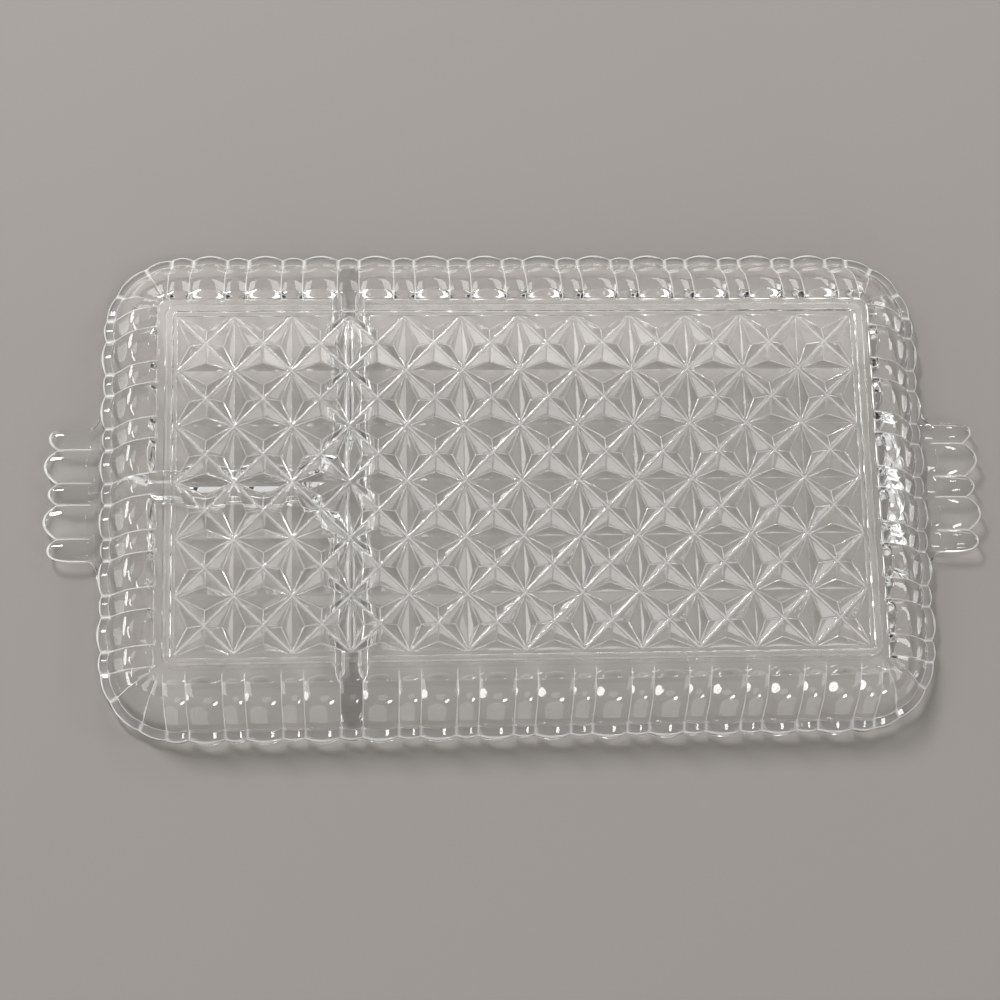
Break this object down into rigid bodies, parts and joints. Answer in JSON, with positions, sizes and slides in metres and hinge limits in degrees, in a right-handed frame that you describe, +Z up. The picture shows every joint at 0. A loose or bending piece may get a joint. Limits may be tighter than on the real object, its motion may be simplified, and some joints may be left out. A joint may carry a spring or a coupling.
{
  "type": "divided serving dish",
  "caption": "Clear pressed-glass rectangular tray with a star-pattern base, sloping fluted walls, a scalloped rim, T-shaped dividers between its wells and a lobed tab handle at each end.",
  "frame": {"origin": "middle of the plane that the foot ring rests on", "axes": "+Z up out of the wells, +X along the dish from the small wells to the large one"},
  "size_m": [0.3358, 0.1778, 0.023],
  "materials": {
    "clear_glass": "clear fire-polished pressed soda-lime glass"
  },
  "bodies": {
    "root": {"base_plate": "clear_glass", "foot_ring": "clear_glass", "front_wall": "clear_glass", "back_wall": "clear_glass", "left_wall": "clear_glass", "right_wall": "clear_glass", "front_left_corner": "clear_glass", "front_right_corner": "clear_glass", "back_left_corner": "clear_glass", "back_right_corner": "clear_glass", "cross_divider": "clear_glass", "branch_divider": "clear_glass", "left_handle": "clear_glass", "right_handle": "clear_glass"}
  },
  "joints": []
}
